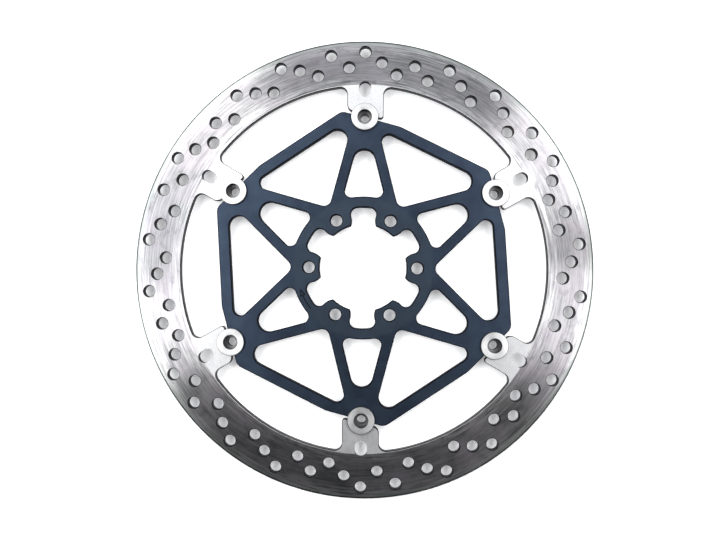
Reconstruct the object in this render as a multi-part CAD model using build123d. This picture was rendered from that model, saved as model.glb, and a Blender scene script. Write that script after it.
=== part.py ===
from build123d import *
from build123d.topology import SkipClean
import math
import os

# Floating brake disc rotor for the front wheel of a motorcycle.
# A stainless brake ring hangs by six bobbins from an aluminium carrier that bolts to the hub.
#
# Frame: the origin is the middle of the hub bolt circle, on the carrier's mounting face.
# +Z points out of the visible front. The first bobbin is on +Y, the first hub bolt on +X.
# Lengths are millimetres and angles are degrees.

# ---- Layout ----
stations = 6                      # bobbins, ring tabs and hub bolts, evenly spaced
bobbin_angle = 90.0               # the first bobbin; a hub bolt is midway to the next one

# ---- Brake ring ----
ring_diameter = 320.0
ring_thickness = 5.0
band_width = 31.5                 # rim to inner edge, between the tabs
track_width = 30.6                # the ground band that the pads run on
tab_relief = 0.15                 # tab faces lie this far under the ground band
ring_edge_chamfer = 0.4

# ---- Vent holes: one group from each bobbin axis to the next ----
vent_hole_diameter = 8.0
vent_hole_chamfer = 0.45
# Depth of each hole's centre under the rim, going round from a bobbin axis
vent_insets = (7.7, 18.2, 8.7, 21.0, 13.7, 7.7, 21.0, 15.0, 8.7, 21.0, 13.7, 22.0, 14.7)

# ---- Ring tabs ----
tab_wall = 5.75                   # each side of the bobbin seat
tab_shift = 0.4                   # tab, moved sideways from the bobbin's radius
tab_root_fillet = 5.0
tab_heel_fillet = 5.5             # corner beside the carrier's hump
tab_toe_fillet = 2.2
tab_gap = 1.9                     # clear of the carrier's lug edge
slot_width = 8.6
slot_length = 11.4
slot_setback = 2.5                # slot centre to the ring's inner edge

# ---- Bobbins ----
bobbin_setback = 22.4             # bobbin axis to the ring's inner edge
barrel_diameter = 14.0
flange_overhang = 2.6
flange_thickness = 1.5
flange_chamfer = 0.3
bobbin_bore = 6.0
counterbore_diameter = 9.7
counterbore_depth = 4.0
tail_end = 0.6                    # barrel left beyond the retaining ring
tail_chamfer = 0.3

# ---- Washers and retaining rings behind each bobbin ----
washer_thickness = 0.5
spring_thickness = 0.6
spring_rise = 0.3                 # height of the cone in the spring washer
retainer_thickness = 1.0
retainer_width = 1.9              # radial width opposite the gap
retainer_taper = 0.35             # the ring thins by this much beside the gap
ear_corner = 0.9
retainer_gap_angle = 34.0
ear_reach = 3.3
ear_width = 3.2
ear_hole_diameter = 1.5
groove_depth = 0.35
retainer_turn = 100.0             # each gap faces this much further round than the last

# ---- Clearances ----
axial_float = 0.2                 # ring travel each way
float_margin = 0.05               # air left at either end of that travel
carrier_seat_clearance = 0.10     # radial, bobbin turning in the carrier
ring_seat_clearance = 0.15        # radial, ring sliding on the bobbin
washer_clearance = 0.10           # radial, washers on the barrel
groove_clearance = 0.03           # radial, retaining ring in its groove
groove_play = 0.1                 # axial, retaining ring in its groove

# ---- Carrier: lugs, bars and spokes ----
lug_edge_tilt = 14.45             # lug edge, turned from square to the bobbin's radius
bar_setback = 5.55                # bobbin circle to the outer edge of the bars
bar_turn = 4.0                    # bars, turned from square to the bolt's radius
bar_width = 8.0
spoke_width = 7.4
spoke_landing = 3.9               # spoke centreline to the bobbin axis, where it lands
hump_fillet = 7.0
kink_fillet = 10.0
carrier_chamfer = 0.4

# ---- Carrier: windows ----
window_apex_fillet = 5.1
window_hump_fillet = 7.1
window_kink_fillet = 5.0
slim_window_setback = 22.8        # tip of the slim window to the bobbin circle
slim_window_fillet = 4.6

# ---- Carrier: hub ----
bolt_circle_diameter = 76.0
bolt_hole_diameter = 8.2
hub_lug_radius = 10.85
bolt_to_bore = 7.5                # bolt circle to the wall of the hub bore
pocket_depth = 4.5                # bolt circle to the floor of the pockets
hub_rim_width = 7.6               # pocket floor to the slim windows
hub_seat_width = 6.5              # pocket floor to the edge of the wheel hub's seat
spoke_rise = 5.4                  # bolt circle to the crossing of two spoke centrelines
pocket_fillet = 4.6
bore_corner_fillet = 0.9

# ---- Carrier: engraved rotation arrow ----
arrow_centre_angle = 209.0
arrow_length_angle = 19.6
arrow_head_length = 5.2
arrow_head_width = 4.0
arrow_line_width = 0.65
arrow_depth = 0.25

# ---- Derived sizes ----
pitch = 360.0 / stations
bolt_angle = bobbin_angle + pitch / 2
ring_radius = ring_diameter / 2
ring_inner_radius = ring_radius - band_width
track_inner_radius = ring_radius - track_width
bobbin_circle_radius = ring_inner_radius - bobbin_setback
barrel_radius = barrel_diameter / 2
flange_radius = barrel_radius + flange_overhang
carrier_thickness = ring_thickness - 2 * tab_relief + 2 * (axial_float + float_margin)
ring_back = axial_float + float_margin - tab_relief
ring_front = ring_back + ring_thickness
washer_back = -washer_thickness
spring_back = washer_back - spring_thickness - spring_rise
retainer_back = spring_back - retainer_thickness
tail_back = retainer_back - tail_end
bolt_circle_radius = bolt_circle_diameter / 2
bore_radius = bolt_circle_radius - bolt_to_bore
pocket_radius = bolt_circle_radius + pocket_depth
slim_window_base_radius = pocket_radius + hub_rim_width
hub_seat_radius = pocket_radius + hub_seat_width
lug_edge_distance = bobbin_circle_radius * math.cos(math.radians(lug_edge_tilt))
bar_distance = bobbin_circle_radius - bar_setback


def polar(radius, angle):
    """Point at a radius and an angle about the disc's axis."""
    return Vector(radius * math.cos(math.radians(angle)), radius * math.sin(math.radians(angle)))


def crossing(line_a, line_b):
    """Point where two lines cross. A line is its distance from the axis and its normal's angle."""
    (distance_a, angle_a), (distance_b, angle_b) = line_a, line_b
    ax, ay = polar(1, angle_a).X, polar(1, angle_a).Y
    bx, by = polar(1, angle_b).X, polar(1, angle_b).Y
    det = ax * by - ay * bx
    x = (distance_a * by - distance_b * ay) / det
    y = (distance_b * ax - distance_a * bx) / det
    return Vector(x, y)


def turned(shape):
    """The shape at each station about the disc's axis."""
    return [Rot(0, 0, pitch * k) * shape for k in range(stations)]


def bobbin_place(index):
    """Where a bobbin stands: its axis through the mounting face's plane."""
    spot = polar(bobbin_circle_radius, bobbin_angle + pitch * index)
    return Pos(spot.X, spot.Y, 0)


def lathed(profile):
    """Solid of revolution about Z from (radius, height) points."""
    points = [(radius, 0, height) for radius, height in profile]
    return revolve(make_face(Polyline(*points, close=True)), Axis.Z)


def round_vertices(sketch, low, high, radius):
    """Fillets a sketch's corners that lie between two radii from the axis."""
    corners = [v for v in sketch.vertices() if low < math.hypot(v.X, v.Y) < high]
    return fillet(corners, radius)


# ---- Lines that shape the carrier about the bobbin on +Y and the bolt beside it ----
lug_line = (lug_edge_distance, bobbin_angle - lug_edge_tilt)
bar_line = (bar_distance, bolt_angle + bar_turn)
bar_before = (bar_distance, bolt_angle + bar_turn - pitch)
bar_inner_line = (bar_distance - bar_width, bolt_angle + bar_turn)

spoke_root = polar(bolt_circle_radius + spoke_rise, bolt_angle)
spoke_top = Vector(-spoke_landing, bobbin_circle_radius)
spoke_run = spoke_top - spoke_root
spoke_angle = math.degrees(math.atan2(spoke_run.Y, spoke_run.X))
spoke_normal_angle = spoke_angle + 90
spoke_distance = spoke_root.dot(polar(1, spoke_normal_angle))
spoke_lean = spoke_normal_angle - bobbin_angle


def make_carrier():
    outline_points = []
    for k in range(stations):
        turn = Rot(0, 0, pitch * k)
        for corner in (crossing(bar_before, lug_line), crossing(lug_line, bar_line)):
            outline_points.append((turn * Pos(corner.X, corner.Y, 0)).position)
    outline_radii = [kink_fillet, hump_fillet] * stations
    outline = make_face(FilletPolyline(*outline_points, radius=outline_radii, close=True))

    outer_side = spoke_distance + spoke_width / 2
    left_side = (outer_side, spoke_normal_angle)
    right_side = (outer_side, 2 * bolt_angle - spoke_normal_angle)
    window = make_face(
        FilletPolyline(
            crossing(left_side, right_side),
            crossing(left_side, bar_inner_line),
            crossing(right_side, bar_inner_line),
            radius=[window_apex_fillet, window_hump_fillet, window_kink_fillet],
            close=True,
        )
    )
    cuts = turned(window) + turned(make_slim_window()) + [make_hub_opening()]

    for k in range(stations):
        spot = polar(bolt_circle_radius, bolt_angle + pitch * k)
        cuts.append(Pos(spot.X, spot.Y) * Circle(bolt_hole_diameter / 2))
        seat = bobbin_place(k) * Circle(barrel_radius + carrier_seat_clearance)
        cuts.append(seat)
    plate = extrude(outline - cuts, carrier_thickness)
    rims = plate.faces().sort_by(Axis.Z)
    plate = chamfer(rims[0].edges() + rims[-1].edges(), carrier_chamfer)
    return mark_hub_seat(plate - make_arrow())


def mark_hub_seat(plate):
    """Outlines the wheel hub's seat as a face of its own, flush with the rest, back and front."""
    core = Cylinder(hub_seat_radius, 4 * carrier_thickness)
    middle = plate & core
    surround = plate - core
    with SkipClean():
        return middle + surround


def make_slim_window():
    """Window between the two spokes of a bobbin: two leaning sides, a round tip and a round base."""
    side_distance = spoke_distance - spoke_width / 2
    lean = math.radians(spoke_lean)
    tip = bobbin_circle_radius - slim_window_setback
    tip_radius = (side_distance - tip * math.cos(lean)) / (1 - math.cos(lean))
    tip_centre = Vector(0, tip - tip_radius)
    reach = tip_radius * math.sin(lean)
    rise = tip_radius * math.cos(lean)
    foot = bolt_circle_radius
    foot_half = (side_distance - foot * math.cos(lean)) / math.sin(lean)
    wedge = Polygon(
        (-foot_half, foot),
        (foot_half, foot),
        (reach, tip_centre.Y + rise),
        (-reach, tip_centre.Y + rise),
        align=None,
    )
    window = wedge + Pos(0, tip_centre.Y) * Circle(tip_radius) - Circle(slim_window_base_radius)
    feet = window.vertices().sort_by(Axis.Y)[:2]
    return fillet(feet, slim_window_fillet)


def make_hub_opening():
    """Hub bore with a pocket under each bobbin, between the lugs that carry the bolts."""
    lugs = []
    for k in range(stations):
        spot = polar(bolt_circle_radius, bolt_angle + pitch * k)
        lugs.append(Pos(spot.X, spot.Y) * Circle(hub_lug_radius))
    opening = Circle(pocket_radius) - lugs + Circle(bore_radius)
    middle = (pocket_radius + bore_radius) / 2
    opening = round_vertices(opening, middle, pocket_radius + 1, pocket_fillet)
    return round_vertices(opening, bore_radius - 1, bore_radius + 0.01, bore_corner_fillet)


def make_arrow():
    """Shallow curved line with an outlined head, for the direction of rotation."""
    radius = (pocket_radius + slim_window_base_radius) / 2
    half_line = arrow_line_width / 2
    start = arrow_centre_angle - arrow_length_angle / 2
    head_angle = math.degrees(arrow_head_length / radius)
    band = Circle(radius + half_line) - Circle(radius - half_line)
    far = 2 * radius
    wedge = Polygon(
        (0, 0),
        polar(far, start + head_angle),
        polar(far, start + arrow_length_angle),
        align=None,
    )
    head = Polygon(
        polar(radius, start),
        polar(radius + arrow_head_width / 2, start + head_angle),
        polar(radius - arrow_head_width / 2, start + head_angle),
        align=None,
    )
    hollow = offset(head, -arrow_line_width, kind=Kind.INTERSECTION)
    engraving = (band & wedge) + (head - hollow)
    return Pos(0, 0, carrier_thickness - arrow_depth) * extrude(engraving, 2 * arrow_depth)


def make_rotor_ring():
    """Ground band with six tabs that reach in to the bobbins, and its vent holes."""
    seat_radius = barrel_radius + ring_seat_clearance
    half_width = seat_radius + tab_wall
    tab_line = (lug_edge_distance + tab_gap, bobbin_angle - lug_edge_tilt)
    left, right = tab_shift - half_width, tab_shift + half_width
    heel = crossing(tab_line, (-left, 180))
    toe = crossing(tab_line, (right, 0))
    tab_top = (track_inner_radius + ring_radius) / 2
    tab = Polygon(heel, toe, (right, tab_top), (left, tab_top), align=None)
    tab = fillet(tab.vertices().sort_by(Axis.Y)[0], tab_toe_fillet)
    tab = fillet(tab.vertices().group_by(Axis.X)[0].sort_by(Axis.Y)[0], tab_heel_fillet)

    body = Circle(ring_radius) - Circle(ring_inner_radius) + turned(tab)
    body = round_vertices(body, ring_inner_radius - 0.1, ring_inner_radius + 0.1, tab_root_fillet)

    slot_place = Pos(0, ring_inner_radius - slot_setback) * Rot(0, 0, 90)
    slot = slot_place * SlotOverall(slot_length, slot_width)
    cuts = turned(slot)
    step = pitch / len(vent_insets)
    for k in range(stations):
        cuts.append(bobbin_place(k) * Circle(seat_radius))
        for index, inset in enumerate(vent_insets):
            spot = polar(ring_radius - inset, bobbin_angle + pitch * k + step * index)
            cuts.append(Pos(spot.X, spot.Y) * Circle(vent_hole_diameter / 2))
    ring = Pos(0, 0, ring_back) * extrude(body - cuts, ring_thickness)

    same = 1e-4
    circles = ring.edges().filter_by(GeomType.CIRCLE)
    vents = [e for e in circles if abs(e.radius - vent_hole_diameter / 2) < same]
    vents = [e for e in vents if math.hypot(e.center().X, e.center().Y) > track_inner_radius]
    ring = chamfer(vents, vent_hole_chamfer)
    rims = [e for e in ring.edges().filter_by(GeomType.CIRCLE) if abs(e.radius - ring_radius) < same]
    ring = chamfer(rims, ring_edge_chamfer)

    relief = extrude(Circle(track_inner_radius), ring_thickness)
    back_relief = Pos(0, 0, ring_back + tab_relief - ring_thickness) * relief
    front_relief = Pos(0, 0, ring_front - tab_relief) * relief
    return ring - back_relief - front_relief


def make_bobbin():
    """Flanged, bored button with a retaining ring groove near its tail."""
    top = carrier_thickness + flange_thickness
    ledge = top - counterbore_depth
    groove_radius = barrel_radius - groove_depth
    groove_front = retainer_back + retainer_thickness + groove_play
    return lathed(
        [
            (bobbin_bore / 2, tail_back),
            (bobbin_bore / 2, ledge),
            (counterbore_diameter / 2, ledge),
            (counterbore_diameter / 2, top - flange_chamfer),
            (counterbore_diameter / 2 + flange_chamfer, top),
            (flange_radius - flange_chamfer, top),
            (flange_radius, top - flange_chamfer),
            (flange_radius, carrier_thickness),
            (barrel_radius, carrier_thickness),
            (barrel_radius, groove_front),
            (groove_radius, groove_front),
            (groove_radius, retainer_back),
            (barrel_radius, retainer_back),
            (barrel_radius, tail_back + tail_chamfer),
            (barrel_radius - tail_chamfer, tail_back),
        ]
    )


def make_flat_washer():
    bore = barrel_radius + washer_clearance
    return lathed([(bore, 0), (flange_radius, 0), (flange_radius, washer_back), (bore, washer_back)])


def make_spring_washer():
    """Cone that bears on the flat washer at its rim and on the retaining ring at its bore."""
    bore = barrel_radius + washer_clearance
    return lathed(
        [
            (bore, washer_back - spring_rise),
            (flange_radius, washer_back),
            (flange_radius, washer_back - spring_thickness),
            (bore, spring_back),
        ]
    )


def make_retaining_ring():
    """Open ring, widest opposite its gap, with a drilled ear each side of the gap."""
    inner_radius = barrel_radius - groove_depth + groove_clearance
    outer_radius = inner_radius + retainer_width - retainer_taper / 2
    body = Pos(-retainer_taper / 2, 0) * Circle(outer_radius)
    half_gap = retainer_gap_angle / 2
    ear_length = ear_reach + ear_corner
    ear_middle = inner_radius + ear_reach / 2
    ear_turn = half_gap + math.degrees(ear_width / 2 / ear_middle)
    holes = []
    for side in (-1, 1):
        turn = Rot(0, 0, side * ear_turn)
        ear = RectangleRounded(ear_length, ear_width, ear_corner)
        body = body + turn * Pos(inner_radius + ear_reach - ear_length / 2, 0) * ear
        holes.append(turn * Pos(ear_middle, 0) * Circle(ear_hole_diameter / 2))
    far = 3 * outer_radius
    gap = Polygon((0, 0), polar(far, -half_gap), polar(far, half_gap), align=None)
    body = body - Circle(inner_radius) - gap - holes
    return Pos(0, 0, retainer_back) * extrude(body, retainer_thickness)


def main():
    os.makedirs("parts", exist_ok=True)
    pieces = {"carrier": make_carrier(), "rotor_ring": make_rotor_ring()}
    bobbin = make_bobbin()
    flat_washer = make_flat_washer()
    spring_washer = make_spring_washer()
    retaining_ring = make_retaining_ring()
    for k in range(stations):
        place = bobbin_place(k)
        pieces[f"bobbin_{k + 1}"] = place * bobbin
        pieces[f"flat_washer_{k + 1}"] = place * flat_washer
        pieces[f"spring_washer_{k + 1}"] = place * spring_washer
        pieces[f"retaining_ring_{k + 1}"] = place * Rot(0, 0, retainer_turn * k) * retaining_ring
    for name, piece in pieces.items():
        export_step(piece, f"parts/{name}.step")


main()
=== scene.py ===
import math

import bpy
import numpy as np
from mathutils import Matrix, Vector
from mathutils.geometry import delaunay_2d_cdt


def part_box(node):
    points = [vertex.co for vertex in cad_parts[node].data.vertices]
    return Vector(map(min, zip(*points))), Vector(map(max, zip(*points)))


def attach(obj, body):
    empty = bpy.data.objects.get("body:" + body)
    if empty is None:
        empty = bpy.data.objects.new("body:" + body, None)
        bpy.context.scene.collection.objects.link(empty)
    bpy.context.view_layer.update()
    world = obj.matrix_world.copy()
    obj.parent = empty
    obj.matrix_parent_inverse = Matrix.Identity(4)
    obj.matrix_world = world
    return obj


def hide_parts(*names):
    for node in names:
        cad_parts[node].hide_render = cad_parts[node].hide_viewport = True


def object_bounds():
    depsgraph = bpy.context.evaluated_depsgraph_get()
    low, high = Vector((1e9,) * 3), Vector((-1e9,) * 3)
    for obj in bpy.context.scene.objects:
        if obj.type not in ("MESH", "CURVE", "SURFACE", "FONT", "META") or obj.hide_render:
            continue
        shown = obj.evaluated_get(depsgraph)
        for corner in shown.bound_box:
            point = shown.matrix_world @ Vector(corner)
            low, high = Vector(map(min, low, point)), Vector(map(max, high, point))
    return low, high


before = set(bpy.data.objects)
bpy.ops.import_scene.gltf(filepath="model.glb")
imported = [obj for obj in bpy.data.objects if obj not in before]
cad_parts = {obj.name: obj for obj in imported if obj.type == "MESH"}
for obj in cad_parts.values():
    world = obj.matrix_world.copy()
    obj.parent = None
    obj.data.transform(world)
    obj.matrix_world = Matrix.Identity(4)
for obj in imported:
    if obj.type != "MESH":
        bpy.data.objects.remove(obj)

CAD_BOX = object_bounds()

bl_info = {
    "name": "Floating brake disc",
    "version": (1, 0, 0),
    "blender": (4, 5, 0),
    "location": "3D View > Sidebar > Brake Disc",
    "description": "Finished pieces, materials and stage of a floating motorcycle brake disc",
    "category": "Add Mesh",
}

# Lengths are metres. Flat outlines are complex numbers, x + iy, and walk with the metal on
# their left: anticlockwise round the outside of a plate, clockwise round a hole.
MM = 0.001
STATIONS = 6
PITCH = 360 / STATIONS
PLATE_SHARP = 30
TURNED_SHARP = 10

# An arc's steps are a share of its radius, within bounds, and it has a few at least.
ARC_SHARE, ARC_FINEST, ARC_COARSEST, ARC_FEWEST = 0.1, 0.15 * MM, 1.0 * MM, 5
SAME_POINT = 1e-8
CROSSING_STEPS = 20
BOBBIN_ANGLE = 90.0
BOLT_ANGLE = BOBBIN_ANGLE + PITCH / 2

RING_LOW, RING_HIGH = (corner[2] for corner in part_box("rotor_ring"))
RING_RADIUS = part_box("rotor_ring")[1][1]
CARRIER_LOW, CARRIER_HIGH = (corner[2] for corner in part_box("carrier"))
BOBBIN_LOW, BOBBIN_HIGH = (corner[2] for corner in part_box("bobbin_1"))
BOBBIN_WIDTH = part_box("bobbin_1")[1][0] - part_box("bobbin_1")[0][0]
BOBBIN_CIRCLE = (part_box("bobbin_1")[0][1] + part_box("bobbin_1")[1][1]) / 2
HUB_SEAT_RADIUS = 49.0 * MM
TRACK_RADIUS = 129.4 * MM

# Depth of each vent hole under the rim, in millimetres, from one bobbin axis to the next.
VENT_INSETS = (7.7, 18.2, 8.7, 21.0, 13.7, 7.7, 21.0, 15.0, 8.7, 21.0, 13.7, 22.0, 14.7)
ARROW_START, ARROW_SWEEP = 199.2, 19.6
ARROW_POINTS = 24
WASHER_ROUND, SPRING_ROUND = 0.1 * MM, 0.12 * MM
SCRATCH_ANGLES = (12, 57, 101, 148)

# The room's light: its strength overhead and round the horizon, and the heights between.
OVERHEAD_LIGHT, HORIZON_LIGHT = 0.01, 0.35
HORIZON_FADE = (0.3, 0.5)

# Soft boxes: name, direction round the disc and rise in degrees, distance, width, height, watts
# and colour.
SOFT_BOXES = (
    ("right_back", 33, 42, 1.1, 0.42, 0.8, 7.0, (1.0, 1.0, 1.0)),
    ("back", 88, 36, 1.2, 1.3, 0.7, 9.4, (0.95, 0.98, 1.0)),
    ("left_back", 136, 42, 1.1, 0.4, 0.8, 6.2, (1.0, 0.99, 0.98)),
    ("left_far", 167, 42, 1.1, 0.4, 0.8, 3.8, (0.96, 0.98, 1.0)),
    ("left", 194, 42, 1.1, 0.28, 0.8, 5.3, (1.0, 1.0, 0.99)),
    ("right", 350, 42, 1.1, 0.38, 0.8, 5.4, (1.0, 1.0, 1.0)),
)

# Finishes of the plates, by the order of their materials.
TRACK, TAB, CUT = 0, 1, 2
FACE, EDGE = 0, 1

# ---- Sizes and colours ----


def length(name, description, millimetres):
    return bpy.props.FloatProperty(
        name=name, description=description, default=millimetres * MM, unit="LENGTH", precision=5
    )


def angle(name, description, degrees):
    return bpy.props.FloatProperty(
        name=name, description=description, default=math.radians(degrees), subtype="ANGLE"
    )


def colour(name, description, default):
    return bpy.props.FloatVectorProperty(
        name=name, description=description, default=default, size=3, min=0, max=1, subtype="COLOR"
    )


def amount(name, description, default):
    return bpy.props.FloatProperty(name=name, description=description, default=default)


class DISC_PG_ring(bpy.types.PropertyGroup):
    inner_radius: length("Inner radius", "Inner edge of the band", 128.5)
    track_radius: length("Track radius", "Inner edge of the ground band", TRACK_RADIUS / MM)
    relief: length("Tab relief", "How far the tab faces lie under the band", 0.15)
    rim_chamfer: length("Rim chamfer", "Chamfer on the outer rim", 0.4)
    tab_chamfer: length("Tab chamfer", "Broken edge round the tabs", 0.45)
    hole_radius: length("Vent hole radius", "Radius of the drilled holes", 4.0)
    hole_chamfer: length("Vent hole chamfer", "Chamfer on the drilled holes", 0.45)
    seat_radius: length("Seat radius", "Half-round seat for a bobbin", 7.15)
    tab_wall: length("Tab wall", "Metal each side of the seat", 5.75)
    tab_shift: length("Tab shift", "Tab, moved sideways from the bobbin's radius", 0.4)
    tab_gap: length("Tab gap", "Tab end to the carrier's lug edge", 1.9)
    root_fillet: length("Root fillet", "Fillet where a tab leaves the band", 5.0)
    heel_fillet: length("Heel fillet", "Tab corner beside the carrier's hump", 5.5)
    toe_fillet: length("Toe fillet", "The other tab corner", 2.2)
    slot_width: length("Slot width", "Width of the slot in a tab", 8.6)
    slot_length: length("Slot length", "Length of the slot along the radius", 11.4)
    slot_radius: length("Slot radius", "Middle of the slot from the disc's axis", 126.0)


class DISC_PG_carrier(bpy.types.PropertyGroup):
    chamfer: length("Edge chamfer", "Chamfer on every edge", 0.4)
    # Painted shade: a band of the flat face beside every edge takes the edge's near-black colour.
    border: length("Dark border", "Border of a face that is as dark as its edge", 0.25)
    lug_tilt: angle("Lug tilt", "Lug edge, turned from square to the radius", 14.45)
    bar_distance: length("Bar distance", "Outer edge of the bars from the axis", 100.55)
    bar_turn: angle("Bar turn", "Bars, turned from square to the bolt's radius", 4.0)
    bar_width: length("Bar width", "Width of the outer bars", 8.0)
    spoke_distance: length("Spoke distance", "Spoke centreline from the axis", 30.41)
    spoke_lean: angle("Spoke lean", "Spoke, turned from the bobbin's radius", 14.56)
    spoke_width: length("Spoke width", "Width of a spoke", 7.4)
    seat_radius: length("Seat radius", "Half-round seat for a bobbin", 7.1)
    hump_fillet: length("Hump fillet", "Outer corner beside the tab's heel", 7.0)
    kink_fillet: length("Kink fillet", "Outer corner where lug meets bar", 10.0)
    apex_fillet: length("Apex fillet", "Window corner towards the hub", 5.1)
    window_hump_fillet: length("Hump window fillet", "Window corner under the hump", 7.1)
    window_kink_fillet: length("Kink window fillet", "Window corner under the kink", 5.0)
    slim_tip: length("Slim window tip", "Tip of the slim window from the axis", 83.3)
    slim_base: length("Slim window base", "Base of the slim window from the axis", 50.1)
    slim_fillet: length("Slim window fillet", "Base corners of the slim window", 4.6)
    bolt_circle: length("Bolt circle", "Radius of the bolt circle", 38.0)
    bolt_hole: length("Bolt hole", "Radius of a bolt hole", 4.1)
    lug_radius: length("Hub lug radius", "Radius of a hub lug round its bolt", 10.85)
    bore_radius: length("Bore radius", "Radius of the hub bore", 30.5)
    pocket_radius: length("Pocket radius", "Floor of the pockets from the axis", 42.5)
    pocket_fillet: length("Pocket fillet", "Corners of the pockets", 4.6)
    bore_fillet: length("Bore corner fillet", "Corners between lug and bore", 0.9)
    arrow_depth: length("Arrow depth", "Depth of the engraved arrow", 0.25)
    arrow_line: length("Arrow line", "Width of the engraved line", 0.65)
    arrow_head: length("Arrow head length", "Length of the arrow's head", 5.2)
    arrow_span: length("Arrow head width", "Width of the arrow's head", 4.0)


class DISC_PG_bobbin(bpy.types.PropertyGroup):
    barrel_radius: length("Barrel radius", "Barrel through ring and carrier", 7.0)
    bore_radius: length("Bore radius", "Hole through the bobbin", 3.0)
    cup_radius: length("Counterbore radius", "Counterbore in the flange", 4.85)
    cup_depth: length("Counterbore depth", "Depth of the counterbore", 4.0)
    chamfer: length("Chamfer", "Chamfer on the flange and counterbore", 0.3)
    edge_round: length("Edge round", "Rounding of every turned edge", 0.08)
    groove_depth: length("Groove depth", "Depth of the retaining ring's groove", 0.35)
    groove_width: length("Groove width", "Width of the retaining ring's groove", 1.1)
    washer_clearance: length("Washer clearance", "Radial gap from washers to barrel", 0.1)
    spring_rise: length("Spring rise", "Height of the spring washer's cone", 0.3)
    spring_thickness: length("Spring thickness", "Sheet of the spring washer", 0.6)


class DISC_PG_finish(bpy.types.PropertyGroup):
    track_steel: colour("Ground steel", "Band that the pads run on", (0.80, 0.80, 0.81))
    track_shade: colour("Ground steel shade", "Darker scratches in the band", (0.20, 0.20, 0.21))
    heat_tint: colour("Heat tint", "Patches that heat has coloured", (0.50, 0.455, 0.51))
    rim_tint: colour("Rim tint", "Worn edge of the band", (0.56, 0.60, 0.575))
    rim_border: colour("Rim border", "Dark line along the rim", (0.03, 0.05, 0.04))
    tab_steel: colour("Tab steel", "Cross-ground faces of the tabs", (0.70, 0.70, 0.715))
    # Painted shade: the ring's cut walls, chamfers and hole walls are coloured nearly black.
    edge_steel: colour("Edge steel", "Cut walls and drilled holes", (0.012, 0.012, 0.014))
    carrier_face: colour("Carrier face", "Anodised faces of the carrier", (0.047, 0.067, 0.103))
    carrier_shade: colour("Carrier shade", "Darker patches of the anodising", (0.036, 0.050, 0.080))
    carrier_seat: colour("Carrier seat", "Rubbed anodising on the hub's seat", (0.046, 0.062, 0.084))
    # Painted shade on the carrier's chamfers, walls, face border and engraved arrow.
    carrier_edge: colour("Carrier edge", "Anodised chamfers and walls", (0.003, 0.0035, 0.006))
    bobbin_alloy: colour("Bobbin alloy", "Turned aluminium", (0.93, 0.93, 0.935))
    # Painted shade on the floor of the counterbore and the faces nearest the bore.
    bobbin_cup: colour("Bobbin ledge", "Ledge in the counterbore", (0.22, 0.22, 0.225))
    # Painted shade on the bobbins' upright walls and chamfers.
    bobbin_bore: colour("Bobbin walls", "Upright walls of the bobbins", (0.04, 0.04, 0.043))
    washer_steel: colour("Washer steel", "Stamped stainless steel", (0.55, 0.55, 0.55))
    spring_steel: colour("Spring steel", "Hardened strip", (0.28, 0.26, 0.24))
    retainer_steel: colour("Retainer steel", "Phosphated spring steel", (0.045, 0.045, 0.05))
    floor: colour("Floor", "Plain pale floor", (0.93, 0.93, 0.93))


class DISC_PG_stage(bpy.types.PropertyGroup):
    camera_height: length("Camera height", "Camera above the disc's front face", 419.7)
    camera_right: length("Camera right", "Camera from the disc's axis, to the right", 9.4)
    camera_up: length("Camera up", "Camera from the disc's axis, up the picture", -13.8)
    lean_right: amount("Lean right", "Sideways part of the line of sight", -0.0222)
    lean_up: amount("Lean up", "Upward part of the line of sight", 0.0250)
    roll: angle("Roll", "Camera, turned about the line of sight", 0.7)
    lens: amount("Lens", "Focal length in millimetres on a 36 mm sensor", 29.8)
    floor_size: length("Floor size", "Side of the square floor", 1500.0)
    floor_glow: amount("Floor glow", "Light that the floor gives, as a light table does", 0.32)


# ---- Flat outlines ----


def spin(degrees):
    """Unit vector at an angle, as a complex number."""
    return complex(np.exp(1j * np.radians(degrees)))


def arc(centre, start, end, turn):
    """Points from start to end round a centre; turn is 1 anticlockwise or -1 clockwise.

    A point is centre + (start - centre) * exp(i t), for t from 0 to the sweep.
    """
    sweep = np.angle((end - centre) / (start - centre))
    if turn * sweep <= 1e-9:
        sweep += turn * 2 * np.pi
    radius = abs(start - centre)
    step = min(ARC_COARSEST, max(ARC_FINEST, ARC_SHARE * radius))
    count = max(ARC_FEWEST, math.ceil(abs(sweep) * radius / step))
    return centre + (start - centre) * np.exp(1j * np.linspace(0, sweep, count + 1))


def circle(centre, radius, turn=-1):
    """Closed circle; clockwise, as a hole, unless turn is 1."""
    return arc(centre, centre + radius, centre + radius, turn)[:-1]


def corner(before, tip, after, radius):
    """Arc that rounds the corner at tip on the path from before to after.

    It touches both sides radius / tan(half the corner) from the tip.
    """
    u = (before - tip) / abs(before - tip)
    v = (after - tip) / abs(after - tip)
    half = math.acos(max(-1.0, min(1.0, (u * v.conjugate()).real))) / 2
    centre = tip + (u + v) / abs(u + v) * radius / math.sin(half)
    reach = radius / math.tan(half)
    turn = 1 if (-u.conjugate() * v).imag > 0 else -1
    return arc(centre, tip + u * reach, tip + v * reach, turn)


def chained(*paths):
    """One open path from paths end to end."""
    return np.concatenate(paths)


def joined(*paths):
    """One closed outline from paths end to end, without doubled points."""
    outline = chained(*paths)
    return outline[np.abs(outline - np.roll(outline, 1)) > SAME_POINT]


def rounded(corners, radii):
    """Closed outline through corners, each rounded by its radius."""
    ahead = [*corners[1:], corners[0]]
    sides = zip([corners[-1], *corners], corners, ahead, radii)
    return joined(*(corner(*side) for side in sides))


def stations(path):
    """The path at each of the six stations."""
    return [path * spin(PITCH * k) for k in range(STATIONS)]


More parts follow.
